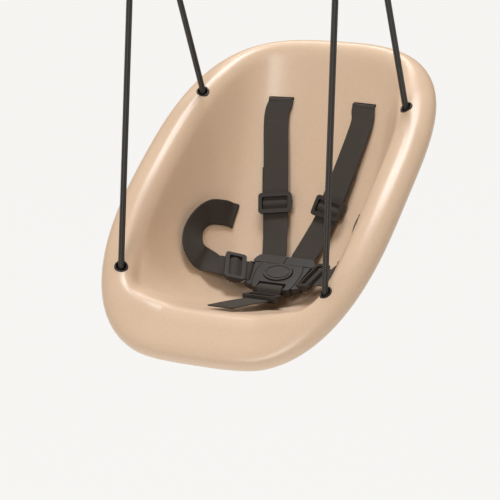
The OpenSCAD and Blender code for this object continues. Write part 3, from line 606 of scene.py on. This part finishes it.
def shell_mesh():
    """The whole shell, without its holes: the rings, closed in the floor's middle above and below."""
    rings = shell_rings()
    count = len(rings)
    floor_up = unit([0, FLOOR_SLOPE, 1])
    points = np.concatenate([rings.reshape(-1, 3), [FLOOR, FLOOR - WALL * floor_up]])
    faces = grid_faces(count, STATIONS)
    pole = count * STATIONS
    last = (count - 1) * STATIONS
    for k in range(STATIONS):
        after = (k + 1) % STATIONS
        faces.append((k, after, pole))
        faces.append((last + after, last + k, pole + 1))
    made = piece("shell", points, faces, shell_finish)
    turned = bmesh.new()
    turned.from_mesh(made.data)
    bmesh.ops.recalc_face_normals(turned, faces=turned.faces)
    turned.to_mesh(made.data)
    turned.free()
    return made


CUT_REACH = 15
SLOT_ROUND = 1.2
DISC_STEPS, CORNER_STEPS = 72, 8


def cutter(outline, place, axis, turn=0.0):
    """A prism along an axis, turned round it, to cut a hole or a slot."""
    across, along = stand(axis)
    x_way = math.cos(turn) * across + math.sin(turn) * along
    y_way = math.cos(turn) * along - math.sin(turn) * across
    q = [place + x * x_way + y * y_way + z * axis for z in (-CUT_REACH, CUT_REACH) for x, y in outline]
    count = len(outline)
    faces = grid_faces(2, count) + [tuple(range(count - 1, -1, -1)), tuple(range(count, 2 * count))]
    return piece("cut", q, faces, shell_finish)


def round_points(middle, r, start, turn, steps):
    """Points round a middle, from an angle in degrees, a turn shared over steps."""
    angles = [math.radians(start + turn * k / steps) for k in range(steps + 1)]
    return [(middle[0] + r * math.cos(a), middle[1] + r * math.sin(a)) for a in angles]


def disc(r):
    return round_points((0, 0), r, 0, 360, DISC_STEPS)[:-1]


def round_box(w, h):
    x, y = w / 2 - SLOT_ROUND, h / 2 - SLOT_ROUND
    corners = [((x, y), 0), ((-x, y), 90), ((-x, -y), 180), ((x, -y), 270)]
    return [q for middle, start in corners for q in round_points(middle, SLOT_ROUND, start, 90, CORNER_STEPS)]


def cut_holes(shell):
    """Cuts the rope holes and the strap slots, and returns the uncut mesh."""
    cutters = [
        cutter(disc(ROPE_HOLE_D / 2), FRONT_HOLE, FRONT_AXIS),
        cutter(disc(ROPE_HOLE_D / 2), REAR_HOLE, REAR_AXIS),
        cutter(round_box(SLOT_H, SLOT_L), SHOULDER_SLOT, SHOULDER_AXIS),
        cutter(round_box(SLOT_L, SLOT_H), WAIST_SLOT, WAIST_AXIS, WAIST_SLOT_TURN),
    ]
    joined = bmesh.new()
    for c in cutters:
        joined.from_mesh(c.data)
    for c in cutters:
        flipped = c.data.copy()
        flipped.transform(Matrix.Diagonal((-1, 1, 1, 1)))
        flipped.flip_normals()
        joined.from_mesh(flipped)
        bpy.data.meshes.remove(flipped)
    cutters.append(cutter(round_box(SLOT_H, SLOT_L), CROTCH_SLOT, CROTCH_AXIS))
    joined.from_mesh(cutters[-1].data)
    tool_mesh = bpy.data.meshes.new("cuts")
    joined.to_mesh(tool_mesh)
    joined.free()
    tool_mesh.materials.append(shell_finish.material)
    tool = bpy.data.objects.new("cuts", tool_mesh)
    bpy.context.scene.collection.objects.link(tool)
    modifier = shell.modifiers.new("cuts", "BOOLEAN")
    modifier.operation = "DIFFERENCE"
    modifier.solver = "EXACT"
    modifier.object = tool
    bpy.context.view_layer.update()
    done = bpy.data.meshes.new_from_object(shell.evaluated_get(bpy.context.evaluated_depsgraph_get()))
    shell.modifiers.clear()
    whole = shell.data
    shell.data = done
    for extra in cutters + [tool]:
        bpy.data.objects.remove(extra)
    return whole


SKIN_MATCH = 0.6
NO_DISTANCE = 1e-6


def smooth_normals(cut, whole):
    """Gives the cut shell the uncut skin's normals, except on the walls of its holes."""
    tree = BVHTree.FromPolygons([v.co for v in whole.vertices], [p.vertices[:] for p in whole.polygons])
    corner_normals = [Vector(n.vector) for n in whole.corner_normals]
    normals = [None] * len(cut.loops)
    for face in cut.polygons:
        for k in face.loop_indices:
            co = cut.vertices[cut.loops[k].vertex_index].co
            near, _, index, _ = tree.find_nearest(co)
            source = whole.polygons[index]
            weights = [1 / ((whole.vertices[whole.loops[j].vertex_index].co - near).length + NO_DISTANCE)
                       for j in source.loop_indices]
            n = sum((w * corner_normals[j] for w, j in zip(weights, source.loop_indices)), Vector())
            n.normalize()
            normals[k] = n if n.dot(face.normal) > SKIN_MATCH else face.normal.copy()
    cut.normals_split_custom_set(normals)


shell = shell_mesh()
uncut = cut_holes(shell)
smooth_normals(shell.data, uncut)
bpy.data.meshes.remove(uncut)
finish_piece(shell, "seat", "shell_plastic", "seat_shell")


# Straps: webbing along the routes of the part's source, with rounded edges

BUCKLE_TILT = math.radians(29)
BUCKLE = np.array([0.0, 159.0, -30.0])
BUCKLE_UP = np.array([0, math.cos(BUCKLE_TILT), math.sin(BUCKLE_TILT)])
BUCKLE_FACE = np.array([0, -math.sin(BUCKLE_TILT), math.cos(BUCKLE_TILT)])
SLIDER_L = 25.5


def in_buckle(x, y, z):
    """A place given across, up and out of the buckle."""
    return BUCKLE + np.array([x, 0, 0]) + y * BUCKLE_UP + z * BUCKLE_FACE


STRAP_COLUMNS = 14
STRAP_STEPS = 14
EDGE_STEPS = 4


def strap_section(thick):
    """Points round the webbing's section: across, outwards, and the place across for its weave."""
    r = thick / 2
    half = STRAP_W / 2 - r
    out = [(x, r, x) for x in np.linspace(-half, half, STRAP_COLUMNS)]
    for k in range(1, EDGE_STEPS + 1):
        a = math.pi / 2 - math.pi * k / (EDGE_STEPS + 1)
        out.append((half + r * math.cos(a), r * math.sin(a), half + r))
    out += [(x, -r, x) for x in np.linspace(half, -half, STRAP_COLUMNS)]
    for k in range(1, EDGE_STEPS + 1):
        a = -math.pi / 2 - math.pi * k / (EDGE_STEPS + 1)
        out.append((-half + r * math.cos(a), r * math.sin(a), -half - r))
    return np.array(out)


def webbing(name, line, widths, thick=STRAP_T, aside=0.0, behind=0.0):
    """Webbing along a line, shifted aside and behind it where it is a second layer."""
    p = spline(line, STRAP_STEPS)
    w = spline(widths, STRAP_STEPS)
    t = headings(p)
    across = w - np.sum(w * t, axis=1)[:, None] * t
    across /= np.linalg.norm(across, axis=1)[:, None]
    out = np.cross(t, across)
    s = lengths(p)
    section = strap_section(thick)
    rings, uvs = [], []
    for i in range(len(p)):
        middle = p[i] + aside * across[i] - behind * out[i]
        rings.append(middle + section[:, :1] * across[i] + section[:, 1:2] * out[i])
        uvs.append(np.stack([section[:, 2], np.full(len(section), s[i])], axis=1))
    sides = len(section)
    faces = [f[::-1] for f in grid_faces(len(p), sides)]
    faces.append(tuple(range(sides)))
    faces.append(tuple((len(p) - 1) * sides + k for k in range(sides - 1, -1, -1)))
    return piece(name, np.concatenate(rings), faces, webbing_finish, np.concatenate(uvs))


def webbing_pair(name, line, widths, thick=STRAP_T):
    """A right strap along a line and its left twin."""
    for hand, word in ((1, "right"), (-1, "left")):
        q, w = np.asarray(line, float), np.asarray(widths, float)
        if hand < 0:
            q, w = mirrored(q), -mirrored(w)
        strap = webbing(f"{word}_{name}_webbing", q, w, thick)
        finish_piece(strap, "seat", "webbing", f"{word}_{name}_strap")


X_AXIS = np.array([1.0, 0, 0])
Z_AXIS = np.array([0, 0, 1.0])
SHOULDER_X = 19.4
SHOULDER_MID = np.array([35.5, 225.0, 37.0])
SHOULDER_RUN = unit([0.2, 0.424, 0.884])
SHOULDER_LIE = (164, 0.52)
SHOULDER_ACROSS = unit(np.cross(SHOULDER_RUN, seat_normal(*SHOULDER_LIE)))
SHOULDER_TRAVEL = 40.0
SHOULDER_THROUGH = [(-15, 0), (-8, 0), (-1, 0), (3.4, -1.4), (5.6, -7)]
SHOULDER_STRAIGHT = [SHOULDER_TRAVEL + SLIDER_L / 2 + 3, SHOULDER_TRAVEL / 2, 0, -SLIDER_L / 2 - 4]
SHOULDER_BACK, SHOULDER_LOW = (56.5, 270, 134), (25.3, 203, 0.5)
SHOULDER_END = [(33, -2.2), (27.5, -3.7), (19.5, -4)]
shoulder_line = [
    *[SHOULDER_SLOT + a * SHOULDER_AXIS + z * Z_AXIS for a, z in SHOULDER_THROUGH],
    SHOULDER_BACK,
    *[SHOULDER_MID + a * SHOULDER_RUN for a in SHOULDER_STRAIGHT],
    SHOULDER_LOW,
    *[in_buckle(SHOULDER_X, y, z) for y, z in SHOULDER_END]]
shoulder_widths = [stand(SHOULDER_AXIS)[1]] * 5 + [SHOULDER_ACROSS] * 5 + [X_AXIS] * 4
webbing_pair("shoulder", shoulder_line, shoulder_widths)

# The shoulder straps' ends come back behind them, from the slider up to a stitched step
FOLD_TOP, FOLD_LOW, FOLD_POINTS = 47.0, -8, 6
FOLD_T = 0.5
FOLD_ASIDE = 1.5
FOLD_PRESS = 0.1
for word, hand in (("right", 1), ("left", -1)):
    keep = np.array([hand, 1.0, 1.0])
    places = np.linspace(FOLD_TOP, FOLD_LOW, FOLD_POINTS)
    fold_line = [(SHOULDER_MID + a * SHOULDER_RUN) * keep for a in places]
    fold_across = [hand * SHOULDER_ACROSS * keep] * len(fold_line)
    fold = webbing(word + "_shoulder_fold", fold_line, fold_across, FOLD_T, hand * FOLD_ASIDE,
                   (STRAP_T + FOLD_T) / 2 - FOLD_PRESS)
    finish_piece(fold, "seat", "webbing")

WAIST_LEAN = math.radians(12)
TONGUE_PLAY, WAIST_WALL = 0.6, 0.8
WAIST_SLOT_L, WAIST_SLOT_H = SLOT_L + TONGUE_PLAY, SLOT_H + TONGUE_PLAY
BODY_TOP, HEAD_GAP = 15.0, 0.4
WAIST_BAR = (35.0, BODY_TOP - HEAD_GAP - (WAIST_SLOT_L / 2 + WAIST_WALL) * math.cos(WAIST_LEAN)
             - WAIST_SLOT_H / 2 * math.sin(WAIST_LEAN))
WAIST_BEND = [(5.6, -1, 0.6), (2, -0.5, -0.6), (0, 0, -4), (0, 0, -12)]
waist_end = [in_buckle(WAIST_BAR[0] + x, WAIST_BAR[1] + y, z) for x, y, z in WAIST_BEND]
WAIST_LOW = waist_end[0]
WAIST_RUN = unit(0.83 * X_AXIS - 0.32 * BUCKLE_UP + 0.45 * BUCKLE_FACE)
WAIST_STRAIGHT = [SLIDER_L + 11, SLIDER_L + 1, 10, 3]
WAIST_BAR_UP = math.sin(WAIST_LEAN) * X_AXIS + math.cos(WAIST_LEAN) * BUCKLE_UP
WAIST_ACROSS = unit(np.cross(np.cross(WAIST_RUN, -WAIST_BAR_UP), WAIST_RUN))
WAIST_SLOT_UP = (-math.cos(WAIST_SLOT_TURN) * stand(WAIST_AXIS)[0]
                 - math.sin(WAIST_SLOT_TURN) * stand(WAIST_AXIS)[1])
WAIST_LOOP = np.array([
    (1.3, -7, 3.9), (5.4, -17.6, 8.1), (13, -34.4, 11.4), (17.2, -53.4, 7.4), (17.8, -69.4, -3),
    (13.4, -81.2, -16.6), (6.4, -81.8, -29.4), (0.6, -74.6, -36.6)])
WAIST_THROUGH = [(-14, 0), (-7, 0), (-1, 0), (3.2, 0.5)]
WAIST_THIN = 0.2
waist_line = [
    *[WAIST_SLOT + a * WAIST_AXIS + x * X_AXIS for a, x in WAIST_THROUGH],
    *(WAIST_SLOT + WAIST_LOOP),
    *[WAIST_LOW + a * WAIST_RUN for a in WAIST_STRAIGHT],
    *waist_end]
waist_widths = [WAIST_SLOT_UP] * 5 + [
    (-0.05, 0.35, 0.93), (0, 0.2, 0.97), (0.1, -0.25, 0.96), (0.3, -0.8, 0.5), (0.35, -0.93, 0),
    (0.2, -0.85, -0.4), (0, -0.75, -0.66)] + [WAIST_ACROSS] * 5 + [-WAIST_BAR_UP] * 3
webbing_pair("waist", waist_line, waist_widths, STRAP_T - WAIST_THIN)

CROTCH_BAR_Y = -20.0
CROTCH_MID = np.array([0, 115.0, -51.0])
CROTCH_RUN = unit([0, 0.989, -0.15])
CROTCH_ROOM = SLIDER_L / 2 + 2.5
CROTCH_THROUGH = [-14, -7, -1, 3.2]
CROTCH_BEND = [(3.8, -18.5), (0.4, -12), (-0.3, -8), (0, -4), (-1.4, -0.6), (-5, 0), (-8.4, -0.4)]
CROTCH_STRAIGHT = [CROTCH_ROOM, CROTCH_ROOM / 3, -CROTCH_ROOM / 3, -SLIDER_L / 2 - 9]
CROTCH_TAIL = [(0, 70, -43.6), (0, 40, -38.8), (0, 10.5, -34.3)]
crotch_line = [
    *[CROTCH_SLOT + a * CROTCH_AXIS for a in CROTCH_THROUGH],
    *[in_buckle(0, CROTCH_BAR_Y + y, z) for y, z in CROTCH_BEND],
    *[CROTCH_MID + a * CROTCH_RUN for a in CROTCH_STRAIGHT],
    *CROTCH_TAIL]
crotch = webbing("crotch_webbing", crotch_line, [X_AXIS] * len(crotch_line))
finish_piece(crotch, "seat", "webbing", "crotch_strap")


# Webbing looped over each slider's bar, seen through its window
LOOP_ARCH = [
    (-8, -0.05), (-6, 0.35), (-4, 1.25), (-2, 2.1), (0, 2.4), (2, 2.1), (4, 1.25), (6, 0.35), (8, -0.05)]
WAIST_REST = 1.2
WAIST_MID = WAIST_LOW + (SLIDER_L / 2 + WAIST_REST) * WAIST_RUN


def slider_loop(name, middle, run, across):
    """The webbing's arch over one slider's bar, moving with the slider."""
    face = np.cross(across, run)
    arch = [middle + y * run + z * face for y, z in LOOP_ARCH]
    loop = webbing(name + "_loop", arch, [-across] * len(arch))
    finish_piece(loop, name + "_body", "webbing")


for word, hand in (("right", 1), ("left", -1)):
    keep = np.array([hand, 1.0, 1.0])
    for kind, middle, run, across in (("shoulder", SHOULDER_MID, SHOULDER_RUN, SHOULDER_ACROSS),
                                      ("waist", WAIST_MID, WAIST_RUN, WAIST_ACROSS)):
        slider_loop(f"{word}_{kind}_slider", middle * keep, run * keep, hand * across * keep)
slider_loop("crotch_slider", CROTCH_MID, CROTCH_RUN, X_AXIS)


# Hard pieces: the CAD nodes with softened edges

WELD_GAP = 0.00002
BEVEL_SEGMENTS, BEVEL_ANGLE = 3, math.radians(35)


def soften(node, finish, width):
    """Gives a CAD node its finish and edges rounded to a width in mm."""
    made = NODES[node]
    made.data.materials.clear()
    made.data.materials.append(finish.material)
    weld = made.modifiers.new("weld", "WELD")
    weld.merge_threshold = WELD_GAP
    bevel = made.modifiers.new("bevel", "BEVEL")
    bevel.width = width * MM
    bevel.segments = BEVEL_SEGMENTS
    bevel.limit_method = "ANGLE"
    bevel.angle_limit = BEVEL_ANGLE
    bevel.harden_normals = True
    made.modifiers.new("normals", "WEIGHTED_NORMAL")


HARD_PIECES = [
    (plastic_finish, 0.9, ["left_shoulder_slider", "right_shoulder_slider", "left_waist_slider",
                           "right_waist_slider", "crotch_slider"]),
    (plastic_finish, 0.7, ["left_shoulder_tongue", "right_shoulder_tongue", "left_waist_tongue",
                           "right_waist_tongue", "buckle_cover", "buckle_base"]),
    (plastic_finish, 0.4, ["strap_anchors"]),
    (plastic_finish, 0.3, ["release_button", "rope_sheaves"]),
    (rubber_finish, 0.2, ["front_left_grommet", "front_right_grommet", "rear_left_grommet",
                          "rear_right_grommet"]),
    (zinc_finish, 0.8, ["left_hanger", "right_hanger"]),
    (zinc_finish, 0.4, ["knot_washers", "rope_ferrules"]),
    (bright_finish, 0.2, ["clevis_pins", "pin_clips", "button_spring"]),
]
for finish, width, names in HARD_PIECES:
    for name in names:
        soften(name, finish, width)


# Stage: a pale floor far below and soft studio light

STAGE_Z = -1.25
STAGE_HALF = 60.0
STAGE_COLOUR = (245, 244, 242)
STAGE_DARK = (0.02, 0.02, 0.02, 1)
floor_finish = Finish("stage_floor", 1.0)
floor_finish.shader.inputs["Base Color"].default_value = STAGE_DARK
floor_finish.shader.inputs["Specular IOR Level"].default_value = 0.0
floor_finish.shader.inputs["Emission Color"].default_value = linear(STAGE_COLOUR)
floor_finish.shader.inputs["Emission Strength"].default_value = 1.0
floor_corners = [(x * STAGE_HALF, y * STAGE_HALF, STAGE_Z) for x, y in ((-1, -1), (1, -1), (1, 1), (-1, 1))]
floor_mesh = bpy.data.meshes.new("stage_floor")
floor_mesh.from_pydata(floor_corners, [], [(0, 1, 2, 3)])
floor_mesh.materials.append(floor_finish.material)
stage_floor = bpy.data.objects.new("stage_floor", floor_mesh)
bpy.context.scene.collection.objects.link(stage_floor)

SEAT_MIDDLE = Vector(row((0, 120, 20)))
LIGHT_DISTANCE = 2.4


def soft_light(name, direction, size, watts, colour=(1, 1, 1)):
    """A rectangle of light that faces the seat from a direction."""
    data = bpy.data.lights.new(name, "AREA")
    data.shape = "RECTANGLE"
    data.size, data.size_y = size
    data.energy = watts
    data.color = colour
    made = bpy.data.objects.new(name, data)
    way = Vector(direction).normalized()
    made.location = SEAT_MIDDLE + LIGHT_DISTANCE * way
    made.rotation_euler = way.to_track_quat("Z", "Y").to_euler()
    bpy.context.scene.collection.objects.link(made)


soft_light("overhead", (-0.02, 0.06, 1.0), (1.1, 0.7), 41, (0.95, 0.97, 1.0))
soft_light("front", (0.0, -0.88, 0.45), (0.6, 0.8), 14)
soft_light("behind", (-0.3, 0.5, 0.82), (0.9, 0.3), 9)

# A warm fill from all round, for the light that the shell throws into its own shade
WORLD_COLOUR = (1.0, 0.75, 0.5, 1)
WORLD_STRENGTH = 0.26
world = bpy.data.worlds.new("studio")
bpy.context.scene.world = world
world.use_nodes = True
world.node_tree.nodes["Background"].inputs["Color"].default_value = WORLD_COLOUR
world.node_tree.nodes["Background"].inputs["Strength"].default_value = WORLD_STRENGTH
